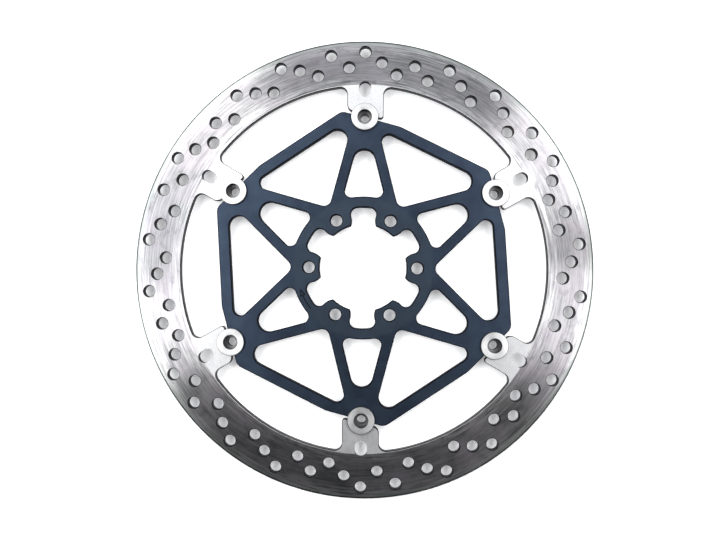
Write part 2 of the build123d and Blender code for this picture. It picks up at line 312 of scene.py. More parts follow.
def crossing(line_a, line_b):
    """Where two lines cross; a line is its distance from the axis and its normal's angle."""
    (distance_a, angle_a), (distance_b, angle_b) = line_a, line_b
    rows = [[math.cos(math.radians(a)), math.sin(math.radians(a))] for a in (angle_a, angle_b)]
    x, y = np.linalg.solve(rows, [distance_a, distance_b])
    return complex(x, y)


def inset(loop, distance):
    """The outline moved into the metal, each point along the mitre of its two edges."""
    edge = np.roll(loop, -1) - loop
    edge = edge / np.abs(edge)
    before = np.roll(edge, 1)
    mitre = 1j * (edge + before) / (1 + (edge * before.conj()).real)
    return loop + mitre * distance


def signed_area(loop):
    """Area inside a loop, positive when it runs anticlockwise."""
    return (loop.conj() * np.roll(loop, -1)).imag.sum() / 2


# ---- Meshes ----


class Shell:
    """Points, faces and finishes of one closed piece, collected patch by patch."""

    def __init__(self):
        self.points = np.empty((0, 3))
        self.faces = []
        self.finishes = []

    def rows(self, loop, profile):
        """A loop carried along a profile of (inset, height) steps; returns the rows' indices."""
        layers = [(inset(loop, step) if step else loop, height) for step, height in profile]
        grid = [np.column_stack([p.real, p.imag, np.full(len(p), z)]) for p, z in layers]
        first = len(self.points)
        self.points = np.concatenate([self.points, *grid])
        return first + np.arange(len(profile) * len(loop)).reshape(len(profile), len(loop))

    def band(self, rows, finishes, closed=True):
        """Quads between neighbouring rows, facing out of the metal when the rows rise."""
        for low, high, finish in zip(rows[:-1], rows[1:], finishes):
            quads = np.column_stack([low, np.roll(low, -1), np.roll(high, -1), high])
            quads = quads if closed else quads[:-1]
            self.faces += quads.tolist()
            self.finishes += [finish] * len(quads)

    def wall(self, loop, profile, finishes):
        """Side wall on a loop; returns the lowest and the highest row."""
        rows = self.rows(loop, profile)
        self.band(rows, finishes)
        return rows[0], rows[-1]

    def cap(self, loops, upward, finish):
        """Flat face between loops of points that exist already.

        The loops are triangulated together, and a triangle is kept where a ray from its middle
        crosses the loops an odd number of times.
        """
        ids = np.concatenate(loops)
        flat = self.points[ids, :2] / MM
        ends = np.concatenate([np.roll(np.arange(len(loop)), -1) for loop in loops])
        starts = np.cumsum([0] + [len(loop) for loop in loops[:-1]])
        ends = ends + np.repeat(starts, [len(loop) for loop in loops])
        edges = np.column_stack([np.arange(len(ids)), ends])
        result = delaunay_2d_cdt([Vector(p) for p in flat], edges.tolist(), [], 0, 1e-6)
        source = np.array([found[0] if found else -1 for found in result[3]])
        triangles = source[np.array(result[2])]
        if triangles.min() < 0:
            raise RuntimeError("outlines cross")
        middle = flat[triangles].mean(axis=1)
        triangles = triangles[inside(middle, flat[edges[:, 0]], flat[edges[:, 1]])]
        triangles = ids[triangles if upward else triangles[:, ::-1]]
        self.faces += triangles.tolist()
        self.finishes += [finish] * len(triangles)

    def piece(self, name, materials, sharp=PLATE_SHARP):
        """The finished object, standing at the origin."""
        mesh = bpy.data.meshes.new(name)
        mesh.from_pydata(self.points, [], self.faces)
        for material in materials:
            mesh.materials.append(material)
        mesh.polygons.foreach_set("material_index", np.array(self.finishes, dtype=np.int32))
        mesh.shade_smooth()
        mesh.set_sharp_from_angle(angle=math.radians(sharp))
        mesh.validate()
        mesh.update()
        return add_object(name, mesh)


def add_object(name, data):
    thing = bpy.data.objects.new(name, data)
    bpy.context.scene.collection.objects.link(thing)
    return thing


def inside(points, starts, ends, block=2000):
    """Whether each point lies inside the loops, by the parity of edges to its right."""
    found = []
    for k in range(0, len(points), block):
        x, y = points[k:k + block, 0:1], points[k:k + block, 1:2]
        straddles = (starts[:, 1] > y) != (ends[:, 1] > y)
        rise = np.where(straddles, ends[:, 1] - starts[:, 1], 1.0)
        edge_x = starts[:, 0] + (y - starts[:, 1]) * (ends[:, 0] - starts[:, 0]) / rise
        found.append((straddles & (edge_x > x)).sum(axis=1) % 2 == 1)
    return np.concatenate(found)


def chamfered(low, high, chamfer):
    """Profile of a plate's wall with a chamfer on both edges."""
    return [(chamfer, low), (0, low + chamfer), (0, high - chamfer), (chamfer, high)]


def turned(name, profile, centre, materials, inner=0.0, count=128):
    """A profile turned about an upright axis.

    Where inner is given, walls take the second material, and other faces nearer the axis than
    inner take the third.

    The profile is complex, radius + i height, and walks with the metal on its left. A point is
    centre + radius * (cos a, sin a), at the profile's height. The map u is the length along the
    profile and v the share of a turn, so that turning marks follow the surface.
    """
    turns = np.linspace(0, 2 * np.pi, count, endpoint=False)
    radius, height = profile.real[:, None], profile.imag[:, None]
    x = centre.real + radius * np.cos(turns)
    y = centre.imag + radius * np.sin(turns)
    shell = Shell()
    shell.points = np.stack([x, y, height + 0 * x], axis=-1).reshape(-1, 3)
    ids = np.arange(len(profile) * count).reshape(len(profile), count)
    after, beside = np.roll(ids, -1, axis=0), np.roll(ids, -1, axis=1)
    both = np.roll(after, -1, axis=1)
    shell.faces = np.stack([ids, beside, both, after], axis=-1).reshape(-1, 4).tolist()
    step = np.roll(profile, -1) - profile
    wall = np.abs(step.imag) > 0.5 * np.abs(step.real)
    inside_cup = profile.real + step.real / 2 < inner
    finishes = np.where(wall, 1, np.where(inside_cup, 2, 0)) if inner else 0 * wall
    shell.finishes = np.repeat(finishes, count)
    thing = shell.piece(name, materials, TURNED_SHARP)
    along = np.concatenate([[0], np.cumsum(np.abs(step))])
    u0, u1 = np.repeat(along[:-1], count), np.repeat(along[1:], count)
    v0 = np.tile(np.arange(count) / count, len(profile))
    v1 = v0 + 1 / count
    corners = np.stack([u0, v0, u0, v1, u1, v1, u1, v0], axis=-1).reshape(-1)
    thing.data.uv_layers.new(name="turning").data.foreach_set("uv", corners)
    return thing


# ---- Shaders ----


def operation(name, reflected=False):
    """A method that adds one Math node; its reflected form swaps the two numbers."""

    def method(self, other):
        numbers = (other, self) if reflected else (self, other)
        return self.shader.math(name, *numbers)

    return method


class Value:
    """A number in a node tree; arithmetic on it adds Math nodes."""

    def __init__(self, shader, socket):
        self.shader = shader
        self.socket = socket

    __add__ = __radd__ = operation("ADD")
    __mul__ = __rmul__ = operation("MULTIPLY")
    __sub__ = operation("SUBTRACT")
    __rsub__ = operation("SUBTRACT", reflected=True)
    __truediv__ = operation("DIVIDE")


class Shader:
    """Builds the node tree of a material or of the world."""

    def __init__(self, owner):
        owner.use_nodes = True
        self.tree = owner.node_tree
        self.tree.nodes.clear()

    def node(self, kind, settings=None, sockets=None):
        """One node: its settings first, then its sockets' values or links."""
        node = self.tree.nodes.new(kind)
        for name, value in (settings or {}).items():
            setattr(node, name, value)
        for name, value in (sockets or {}).items():
            socket = node.inputs[name]
            if isinstance(value, Value):
                self.tree.links.new(value.socket, socket)
            else:
                socket.default_value = (*value, 1) if socket.type == "RGBA" else value
        return node

    def link(self, source, target, index=0):
        self.tree.links.new(source.outputs[0], target.inputs[index])

    def value(self, kind, settings=None, sockets=None, output=0):
        """What a new node gives."""
        return Value(self, self.node(kind, settings, sockets).outputs[output])

    def math(self, name, *numbers):
        return self.value("ShaderNodeMath", {"operation": name}, dict(enumerate(numbers)))

    def smooth(self, value, low, high):
        """0 below low, 1 above high, and a smooth step between."""
        sockets = {"Value": value, "From Min": low, "From Max": high}
        return self.value("ShaderNodeMapRange", {"interpolation_type": "SMOOTHSTEP"}, sockets)

    def parts(self, kind, output, settings=None):
        """The three parts of a coordinate node's output."""
        whole = self.value(kind, settings, None, output)
        split = self.node("ShaderNodeSeparateXYZ", None, {0: whole})
        return [Value(self, socket) for socket in split.outputs]

    def place(self):
        """Object coordinates in millimetres."""
        return [part * (1 / MM) for part in self.parts("ShaderNodeTexCoord", "Object")]

    def turning(self):
        """Millimetres along a turned profile, and the turn about its axis from 0 to 1."""
        along, turn, _ = self.parts("ShaderNodeUVMap", 0, {"uv_map": "turning"})
        return along * (1 / MM), turn

    def noise(self, x, y, z, detail=2.0, roughness=0.5):
        place = self.value("ShaderNodeCombineXYZ", None, {0: x, 1: y, 2: z})
        sockets = {"Vector": place, "Scale": 1.0, "Detail": detail, "Roughness": roughness}
        return self.value("ShaderNodeTexNoise", None, sockets)

    def mix(self, factor, first, second):
        """Colour between two colours."""
        sockets = {0: factor, 6: first, 7: second}
        return self.value("ShaderNodeMix", {"data_type": "RGBA"}, sockets, 2)

    def bump(self, height, strength, distance):
        sockets = {"Height": height, "Strength": strength, "Distance": distance}
        return self.value("ShaderNodeBump", None, sockets)

    def surface(self, **sockets):
        """The Principled shader, wired to the output; returns both nodes."""
        named = {name.replace("_", " "): value for name, value in sockets.items()}
        node = self.node("ShaderNodeBsdfPrincipled", None, named)
        output = self.node("ShaderNodeOutputMaterial")
        self.link(node, output)
        return node, output


def new_material(name):
    """A material, its shader and the colours that the scene holds."""
    material = bpy.data.materials.new(name)
    return material, Shader(material), bpy.context.scene.disc_finish


def scaled(tone, share):
    """A colour, darker where share is under 1 and paler where it is over 1."""
    return tuple(share * part for part in tone)


def ground_steel():
    """Band ground round the axis: fine circles, broader streaks and a worn outer edge."""
    material, shader, finish = new_material("ground_steel")
    x, y, z = shader.place()
    radius = shader.math("SQRT", x * x + y * y)
    east, north = x / radius, y / radius
    fine = shader.noise(radius * 3.0, east * 8.0, north * 8.0, detail=4.0, roughness=0.7)
    broad = shader.noise(radius * 0.8 + 40.0, east * 5.0, north * 5.0, detail=3.0, roughness=0.6)
    patch = shader.noise(x * 0.05, y * 0.05, z * 0.05 + 7.0, detail=5.0, roughness=0.65)
    smear = shader.noise(radius * 0.16, east * 14.0, north * 14.0, detail=5.0, roughness=0.65)
    lines = shader.smooth(fine * 0.5 + broad * 0.5, 0.38, 0.62)
    steel = shader.mix(lines, finish.track_shade, finish.track_steel)
    inner, outer = TRACK_RADIUS / MM, RING_RADIUS / MM
    unworn = 1 - shader.smooth(radius + patch * 3, inner + 4.0, inner + 10.0)
    unworn = unworn + shader.smooth(radius + patch * 3, outer - 8.0, outer - 2.0)
    steel = shader.mix((1 - unworn) * 0.55, steel, finish.track_shade)
    tint = shader.smooth(patch, 0.35, 0.65)
    steel = shader.mix(tint * 0.5, steel, finish.heat_tint)
    steel = shader.mix(shader.smooth(smear, 0.52, 0.7) * 0.5, steel, finish.track_shade)
    rim = shader.smooth(radius + broad * 1.2, outer - 3.2, outer - 1.6)
    steel = shader.mix(rim * 0.5, steel, finish.rim_tint)
    border = shader.smooth(radius + fine * 0.5, outer - 1.2, outer - 0.4)
    steel = shader.mix(border * 0.95, steel, finish.rim_border)
    rough = 0.2 + fine * 0.1 + patch * 0.14
    shader.surface(
        Base_Color=steel,
        Metallic=1.0,
        Roughness=rough,
        Anisotropic=0.85,
        Anisotropic_Rotation=0.25,
        Normal=shader.bump(fine + broad * 0.6, 0.25, 0.04 * MM),
    )
    return material


def cross_ground_steel():
    """Tab faces: short scratches that cross in four directions."""
    material, shader, finish = new_material("cross_ground_steel")
    x, y, z = shader.place()
    marks = 0.0
    for index, degrees in enumerate(SCRATCH_ANGLES):
        way = spin(degrees)
        along, across = x * way.real + y * way.imag, y * way.real - x * way.imag
        scratches = shader.noise(along * 0.16, across * 3.2, 3.0 * index)
        marks = shader.math("MAXIMUM", marks, scratches)
    marks = shader.smooth(marks, 0.56, 0.74)
    cloud = shader.noise(x * 0.12, y * 0.12, z * 0.12, detail=3.0)
    dull = scaled(finish.tab_steel, 0.55)
    steel = shader.mix(marks * 0.6 + cloud * 0.2, finish.tab_steel, dull)
    shader.surface(
        Base_Color=steel,
        Metallic=1.0,
        Roughness=0.4 + cloud * 0.14,
        Normal=shader.bump(marks, 0.22, 0.04 * MM),
    )
    return material


def cut_steel_painted_shade():
    """Walls of the ring and of its holes, painted nearly black as shade: fine marks round the cut.
    """
    material, shader, finish = new_material("cut_steel_painted_shade")
    x, y, z = shader.place()
    marks = shader.noise(x * 0.8, y * 0.8, z * 6.0, detail=3.0)
    darker = scaled(finish.edge_steel, 0.45)
    shader.surface(
        Base_Color=shader.mix(marks, darker, finish.edge_steel),
        Metallic=1.0,
        Roughness=0.36 + marks * 0.2,
        Normal=shader.bump(marks, 0.2, 0.05 * MM),
    )
    return material


def anodised_face():
    """Satin anodised aluminium with faint cloudy patches and a very fine grain."""
    material, shader, finish = new_material("anodised_face")
    x, y, z = shader.place()
    cloud = shader.noise(x * 0.07, y * 0.07, z * 0.07, detail=4.0, roughness=0.6)
    grain = shader.noise(x * 7.0, y * 7.0, z * 7.0, detail=2.0)
    tone = shader.smooth(cloud * 0.8 + grain * 0.2, 0.3, 0.7)
    face = shader.mix(tone, finish.carrier_shade, finish.carrier_face)
    radius = shader.math("SQRT", x * x + y * y)
    seat = 1 - shader.smooth(radius + cloud, HUB_SEAT_RADIUS / MM, HUB_SEAT_RADIUS / MM + 1.0)
    rubbed = shader.noise(x * 0.22 + 5.0, y * 0.22, z * 0.22, detail=5.0, roughness=0.65)
    face = shader.mix(seat * (0.25 + rubbed * 0.6), face, finish.carrier_seat)
    shader.surface(
        Base_Color=face,
        Metallic=0.9,
        Roughness=0.35 + cloud * 0.08 + seat * rubbed * 0.08,
        Specular_IOR_Level=0.3,
        Normal=shader.bump(grain, 0.12, 0.03 * MM),
    )
    return material


def anodised_edge_painted_shade():
    """Chamfers and walls of the carrier, nearly black as painted shade; the dark border of the face
    and the engraved arrow take it too.
    """
    material, shader, finish = new_material("anodised_edge_painted_shade")
    x, y, z = shader.place()
    grain = shader.noise(x * 1.5, y * 1.5, z * 9.0, detail=2.0)
    darker = scaled(finish.carrier_edge, 0.6)
    shader.surface(
        Base_Color=shader.mix(grain, darker, finish.carrier_edge),
        Metallic=0.0,
        Roughness=0.55 + grain * 0.12,
        Specular_IOR_Level=0.04,
        Normal=shader.bump(grain, 0.15, 0.04 * MM),
    )
    return material


def turned_metal(name, base, rough, groove, strength, anisotropic=0.6):
    """Metal turned in a lathe: rings along the profile, with a little drift round the axis."""
    material, shader, _ = new_material(name)
    along, turn = shader.turning()
    east = shader.math("COSINE", turn * (2 * math.pi))
    north = shader.math("SINE", turn * (2 * math.pi))
    rings = shader.noise(along * groove, east * 0.5, north * 0.5, detail=2.0)
    drift = shader.noise(along * 0.4 + 9.0, east * 0.8, north * 0.8, detail=2.0)
    darker = scaled(base, 0.8)
    shader.surface(
        Base_Color=shader.mix(shader.smooth(rings * 0.6 + drift * 0.4, 0.35, 0.65), darker, base),
        Metallic=1.0,
        Roughness=rough + drift * 0.12,
        Anisotropic=anisotropic,
        Anisotropic_Rotation=0.25,
        Normal=shader.bump(rings, strength, 0.03 * MM),
    )
    return material


def retainer_steel():
    """Phosphated spring steel: matt, with worn paler spots."""
    material, shader, finish = new_material("phosphated_steel")
    x, y, z = shader.place()
    grain = shader.noise(x * 3.0, y * 3.0, z * 3.0, detail=4.0, roughness=0.7)
    worn = scaled(finish.retainer_steel, 3.0)
    shader.surface(
        Base_Color=shader.mix(shader.smooth(grain, 0.55, 0.75), finish.retainer_steel, worn),
        Metallic=0.8,
        Roughness=0.5 + grain * 0.2,
        Normal=shader.bump(grain, 0.2, 0.03 * MM),
    )
    return material


# ---- Outlines of the ring ----


def tab_outline(ring, tilt):
    """One sixth of the ring's inner outline, anticlockwise: half a gap, the tab, half a gap."""
    centre = BOBBIN_CIRCLE * 1j
    normal = spin(BOBBIN_ANGLE - math.degrees(tilt))
    right = ring.tab_shift + ring.seat_radius + ring.tab_wall
    left = ring.tab_shift - ring.seat_radius - ring.tab_wall
    edge = (BOBBIN_CIRCLE * math.cos(tilt) + ring.tab_gap, BOBBIN_ANGLE - math.degrees(tilt))
    toe, heel = crossing(edge, (right, 0)), crossing(edge, (-left, 180))
    half_mouth = math.sqrt(ring.seat_radius**2 - ring.tab_gap**2)
    mouth = [centre + ring.tab_gap * normal + side * half_mouth * -1j * normal for side in (1, -1)]
    fillet = ring.root_fillet
    reach = ring.inner_radius - fillet
    roots = []
    for x in (right + fillet, left - fillet):
        roots.append(complex(x, math.sqrt(reach**2 - x**2)))
    touch = [root / abs(root) * ring.inner_radius for root in roots]
    top_right, top_left = complex(right, roots[0].imag), complex(left, roots[1].imag)
    gap_middle = ring.inner_radius * spin(BOBBIN_ANGLE - PITCH / 2)
    return chained(
        arc(0, gap_middle, touch[0], 1),
        arc(roots[0], touch[0], top_right, 1),
        corner(top_right, toe, mouth[0], ring.toe_fillet),
        arc(centre, mouth[0], mouth[1], 1),
        corner(mouth[1], heel, top_left, ring.heel_fillet),
        arc(roots[1], top_left, touch[1], 1),
        arc(0, touch[1], gap_middle * spin(PITCH), 1),
    )


def slot_paths(ring):
    """A tab's slot, clockwise, in two paths that meet where it crosses the track's inner edge.

    The first goes over the top, in the ground band, and the second round the bottom.
    """
    half_width = ring.slot_width / 2
    rise = ring.slot_length / 2 - half_width
    top, bottom = complex(0, ring.slot_radius + rise), complex(0, ring.slot_radius - rise)
    height = (ring.track_radius**2 - half_width**2 + top.imag**2) / (2 * top.imag)
    for _ in range(CROSSING_STEPS):
        across = math.sqrt(half_width**2 - (height - top.imag) ** 2)
        height = math.sqrt(ring.track_radius**2 - across**2)
    left, right = complex(-across, height), complex(across, height)
    over = arc(top, left, right, -1)
    under = chained(
        arc(top, right, top + half_width, -1),
        arc(bottom, bottom + half_width, bottom - half_width, -1),
        arc(top, top - half_width, left, -1),
    )
    keep = np.abs(np.diff(under, prepend=under[0] + 1)) > SAME_POINT
    return over, under[keep]


def vent_centres():
    """Middles of the drilled holes: thirteen evenly spaced from each bobbin axis to the next."""
    step = PITCH / len(VENT_INSETS)
    group = [
        (RING_RADIUS - depth * MM) * spin(BOBBIN_ANGLE + step * k)
        for k, depth in enumerate(VENT_INSETS)
    ]
    return [middle * spin(PITCH * k) for k in range(STATIONS) for middle in group]


# ---- Outlines of the carrier ----


def carrier_outline(carrier):
    """Twelve-sided outside with a half-round seat in each lug edge, anticlockwise."""
    tilt = math.degrees(carrier.lug_tilt)
    turn = math.degrees(carrier.bar_turn)
    lug = (BOBBIN_CIRCLE * math.cos(carrier.lug_tilt), BOBBIN_ANGLE - tilt)
    bar = (carrier.bar_distance, BOLT_ANGLE + turn)
    bar_before = (carrier.bar_distance, BOLT_ANGLE + turn - PITCH)
    kink, hump = crossing(bar_before, lug), crossing(lug, bar)
    centre = BOBBIN_CIRCLE * 1j
    along = 1j * spin(BOBBIN_ANGLE - tilt)
    mouth = [centre - carrier.seat_radius * along, centre + carrier.seat_radius * along]
    sixth = chained(
        corner(hump * spin(-PITCH), kink, mouth[0], carrier.kink_fillet),
        arc(centre, mouth[0], mouth[1], -1),
        corner(mouth[1], hump, kink * spin(PITCH), carrier.hump_fillet),
    )
    return joined(*stations(sixth))


def window_outline(carrier):
    """Three-sided window on a bolt's radius, between two spokes and a bar, clockwise."""
    lean = math.degrees(carrier.spoke_lean)
    side = carrier.spoke_distance + carrier.spoke_width / 2
    left = (side, BOBBIN_ANGLE + 90 - lean)
    right = (side, 2 * BOLT_ANGLE - BOBBIN_ANGLE - 90 + lean)
    bar = (carrier.bar_distance - carrier.bar_width, BOLT_ANGLE + math.degrees(carrier.bar_turn))
    corners = [crossing(left, right), crossing(right, bar), crossing(left, bar)]
    radii = [carrier.apex_fillet, carrier.window_kink_fillet, carrier.window_hump_fillet]
    loop = rounded(corners, radii)
    return loop if signed_area(loop) < 0 else loop[::-1]


def slim_window_outline(carrier):
    """Window between a bobbin's two spokes: leaning sides, a round tip and a round base."""
    lean = carrier.spoke_lean
    side = carrier.spoke_distance - carrier.spoke_width / 2
    right_normal = spin(math.degrees(lean))
    tip_radius = (side - carrier.slim_tip * math.sin(lean)) / (1 - math.sin(lean))
    tip = (carrier.slim_tip - tip_radius) * 1j
    offset = side - carrier.slim_fillet
    reach = carrier.slim_base + carrier.slim_fillet
    foot = right_normal * (offset + 1j * math.sqrt(reach**2 - offset**2))
    base_end = foot / abs(foot) * carrier.slim_base
    side_end = foot + right_normal * carrier.slim_fillet
    tip_end = tip + tip_radius * right_normal

    def mirrored(point):
        return -point.conjugate()

    loop = joined(
        arc(0, mirrored(base_end), base_end, -1),
        arc(foot, base_end, side_end, 1),
        arc(tip, tip_end, mirrored(tip_end), 1),
        arc(mirrored(foot), mirrored(side_end), mirrored(base_end), 1),
    )
    return loop[::-1]


def circles_meet(distance_a, centre, distance_b):
    """Point at one distance from the axis and another from a centre, anticlockwise of it."""
    span = abs(centre)
    cosine = (distance_a**2 + span**2 - distance_b**2) / (2 * distance_a * span)
    return centre / span * distance_a * complex(cosine, math.sqrt(1 - cosine**2))


def hub_outline(carrier):
    """Hub bore, hub lugs and the pockets between them, clockwise."""
    bolt = complex(carrier.bolt_circle)
    small, large, lug = carrier.bore_fillet, carrier.pocket_fillet, carrier.lug_radius
    nose = circles_meet(carrier.bore_radius + small, bolt, lug - small)
    root = circles_meet(carrier.pocket_radius - large, bolt, lug + large)
    bore_end = nose / abs(nose) * carrier.bore_radius
    lug_start = bolt + (nose - bolt) / abs(nose - bolt) * lug
    lug_end = bolt + (root - bolt) / abs(root - bolt) * lug
    floor_start = root / abs(root) * carrier.pocket_radius
    half = chained(
        arc(0, complex(carrier.bore_radius), bore_end, 1),
        arc(nose, bore_end, lug_start, -1),
        arc(bolt, lug_start, lug_end, -1),
        arc(root, lug_end, floor_start, 1),
        arc(0, floor_start, carrier.pocket_radius * spin(PITCH / 2), 1),
    )
    sixth = np.concatenate([half, half[::-1].conj() * spin(PITCH)])
    return joined(*stations(sixth))[::-1]


def arrow_outlines(carrier):
    """Engraved arrow: the outside of line and head, and the metal left inside the head.

    Both are worked out as (distance along a circle, distance from it) and bent round the axis.
    """
    middle = (carrier.pocket_radius + carrier.slim_base) / 2
    tail = math.radians(ARROW_SWEEP) * middle
    half_line, half_head = carrier.arrow_line / 2, carrier.arrow_span / 2
    head = carrier.arrow_head
    along = np.concatenate([[0, head, head], np.linspace(head, tail, ARROW_POINTS)[1:]])
    out = np.concatenate([[0, half_head, half_line], np.full(ARROW_POINTS - 1, half_line)])
    outside = np.concatenate([along + 1j * out, (along - 1j * out)[:0:-1]])
    slope = math.hypot(head, half_head)
    gap = carrier.arrow_line
    tip = gap * slope / half_head
    base = head - gap
    half_base = (base - tip) * half_head / head
    hollow = np.array([tip, base + 1j * half_base, base - 1j * half_base], dtype=complex)
    bent = []
    for shape in (outside, hollow):
        turn = np.radians(ARROW_START) + shape.real / middle
        bent.append((middle - shape.imag) * np.exp(1j * turn))
    return bent


# ---- Operators ----


def hand_over(thing, body, node):
    """Rides on the body and stands for the CAD node, which it hides."""
    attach(thing, body)
    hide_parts(node)


def at_station(index, name, profile, materials, node, inner=0.0):
    """A turned piece at one station, which rides with the bobbin there."""
    centre = BOBBIN_CIRCLE * spin(BOBBIN_ANGLE + PITCH * index)
    number = index + 1
    thing = turned(f"{name}_{number}", profile, centre, materials, inner)
    hand_over(thing, f"bobbin_set_{number}", f"{node}_{number}")


class DISC_OT_ring(bpy.types.Operator):
    """Ground, drilled steel ring with six tabs"""

    bl_idname = "disc.ring"
    bl_label = "Drilled ring"

    def execute(self, context):
        ring = context.scene.disc_ring
        low, high, relief = RING_LOW, RING_HIGH, ring.relief
        shell = Shell()

        def cut_wall(loop, below, above, chamfer):
            return shell.wall(loop, chamfered(below, above, chamfer), [CUT] * 3)

        rim = cut_wall(circle(0, RING_RADIUS, 1), low, high, ring.rim_chamfer)
        vents = [
            cut_wall(circle(middle, ring.hole_radius), low, high, ring.hole_chamfer)
            for middle in vent_centres()
        ]
        tilt = context.scene.disc_carrier.lug_tilt
        edge = joined(*stations(tab_outline(ring, tilt)))[::-1]
        inner = cut_wall(edge, low + relief, high - relief, ring.tab_chamfer)

        over, under = slot_paths(ring)
        levels = (low, low + relief, high - relief, high)
        overs, unders, steps = [], [], []
        for k in range(STATIONS):
            over_rows = shell.rows(over * spin(PITCH * k), [(0, z) for z in levels])
            under_rows = shell.rows(under[1:-1] * spin(PITCH * k), [(0, z) for z in levels[1:3]])
            ends = over_rows[1:3]
            under_rows = np.column_stack([ends[:, -1], under_rows, ends[:, 0]])
            shell.band(over_rows, [CUT] * 3, closed=False)
            shell.band(under_rows, [CUT], closed=False)
            overs.append(over_rows)
            unders.append(under_rows)
        for k in range(STATIONS):
            here, ahead = overs[k], overs[(k + 1) % STATIONS]
            start, end = over[0] * spin(PITCH * k), over[-1] * spin(PITCH * (k + 1))
            path = arc(0, start, end, 1)[1:-1]
            rows = shell.rows(path, [(0, z) for z in levels])
            steps.append(np.column_stack([here[:, 0], rows, ahead[:, -1]]))
            for pair in (steps[k][:2], steps[k][2:]):
                shell.band(pair[:, ::-1], [CUT], closed=False)

        def boundary(level, slots):
            """Track's inner edge at a level, from each slot round to the next."""
            parts = []
            for k in range(STATIONS):
                parts += [steps[k][level][:-1], slots[(k + 1) % STATIONS][:-1]]
            return np.concatenate(parts)

        backs = [over_rows[0][::-1] for over_rows in overs]
        tops = [over_rows[3][::-1] for over_rows in overs]
        low_slots, high_slots = zip(*unders)
        shell.cap([rim[0], boundary(0, backs), *[vent[0] for vent in vents]], False, TRACK)
        shell.cap([rim[1], boundary(3, tops), *[vent[1] for vent in vents]], True, TRACK)
        shell.cap([boundary(1, low_slots), inner[0]], False, TAB)
        shell.cap([boundary(2, high_slots), inner[1]], True, TAB)
        # The third finish paints shade on every wall and chamfer of the ring.
        thing = shell.piece("drilled_ring", [ground_steel(), cross_ground_steel(), cut_steel_painted_shade()])
        hand_over(thing, "rotor_ring", "rotor_ring")
        return {"FINISHED"}


class DISC_OT_carrier(bpy.types.Operator):
    """Anodised carrier with spokes, windows, hub lugs and an engraved arrow"""

    bl_idname = "disc.carrier"
    bl_label = "Spoked carrier"

    def execute(self, context):
        carrier = context.scene.disc_carrier
        low, high = CARRIER_LOW, CARRIER_HIGH
        bolts = [carrier.bolt_circle * spin(BOLT_ANGLE + PITCH * k) for k in range(STATIONS)]
        loops = [
            carrier_outline(carrier),
            hub_outline(carrier),
            *stations(window_outline(carrier)),
            *stations(slim_window_outline(carrier)),
            *[circle(bolt, carrier.bolt_hole) for bolt in bolts],
        ]
        shell = Shell()
        # The face's outer band and the chamfers take the edge's painted shade.
        inner = carrier.chamfer + carrier.border
        profile = [(inner, low), *chamfered(low, high, carrier.chamfer), (inner, high)]
        walls = [shell.wall(loop, profile, [EDGE] * 5) for loop in loops]
        engraved = high - carrier.arrow_depth
        engraving = []
        for loop, clockwise in zip(arrow_outlines(carrier), (True, False)):
            if (signed_area(loop) < 0) != clockwise:
                loop = loop[::-1]
            engraving.append(shell.wall(loop, [(0, engraved), (0, high)], [EDGE]))
        shell.cap([wall[0] for wall in walls], False, FACE)
        shell.cap([wall[1] for wall in walls + engraving], True, FACE)
        shell.cap([wall[0] for wall in engraving], True, EDGE)
        thing = shell.piece("spoked_carrier", [anodised_face(), anodised_edge_painted_shade()])
        hand_over(thing, "carrier", "carrier")
        return {"FINISHED"}


def softened(points, radius):
    """A turned profile in (radius, height) with each corner rounded a little."""
    corners = [complex(*point) for point in points]
    return rounded(corners, [radius] * len(corners))


class DISC_OT_bobbins(bpy.types.Operator):
    """Turned, flanged bobbins"""

    bl_idname = "disc.bobbins"
    bl_label = "Bobbins"

    def execute(self, context):
        size = context.scene.disc_bobbin
        low, high, face = BOBBIN_LOW, BOBBIN_HIGH, CARRIER_HIGH
        flange, barrel, cup = BOBBIN_WIDTH / 2, size.barrel_radius, size.cup_radius
        cut = size.chamfer
        ledge = high - size.cup_depth
        ring_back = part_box("retaining_ring_1")[0][2]
        groove_front = ring_back + size.groove_width
        groove = barrel - size.groove_depth
        profile = softened(
            [
                (size.bore_radius, low), (barrel - cut, low), (barrel, low + cut),
                (barrel, ring_back), (groove, ring_back),
                (groove, groove_front), (barrel, groove_front),
                (barrel, face), (flange, face), (flange, high - cut), (flange - cut, high),
                (cup + cut, high), (cup, high - cut), (cup, ledge), (size.bore_radius, ledge),
            ],
            size.edge_round,
        )
        finish = context.scene.disc_finish
        finishes = [
            turned_metal("turned_alloy", finish.bobbin_alloy, 0.36, 6.0, 0.3, 0.45),
            # Painted shade: walls and chamfers of the same alloy, coloured nearly black.
            turned_metal("alloy_wall_painted_shade", finish.bobbin_bore, 0.4, 4.0, 0.2, 0.0),
            # Painted shade: the counterbore's ledge, darker than the flange.
            turned_metal("cup_ledge_painted_shade", finish.bobbin_cup, 0.4, 4.0, 0.2, 0.0),
        ]
        inner = cup + cut / 2
        for k in range(STATIONS):
            at_station(k, "turned_bobbin", profile, finishes, "bobbin", inner)
        return {"FINISHED"}


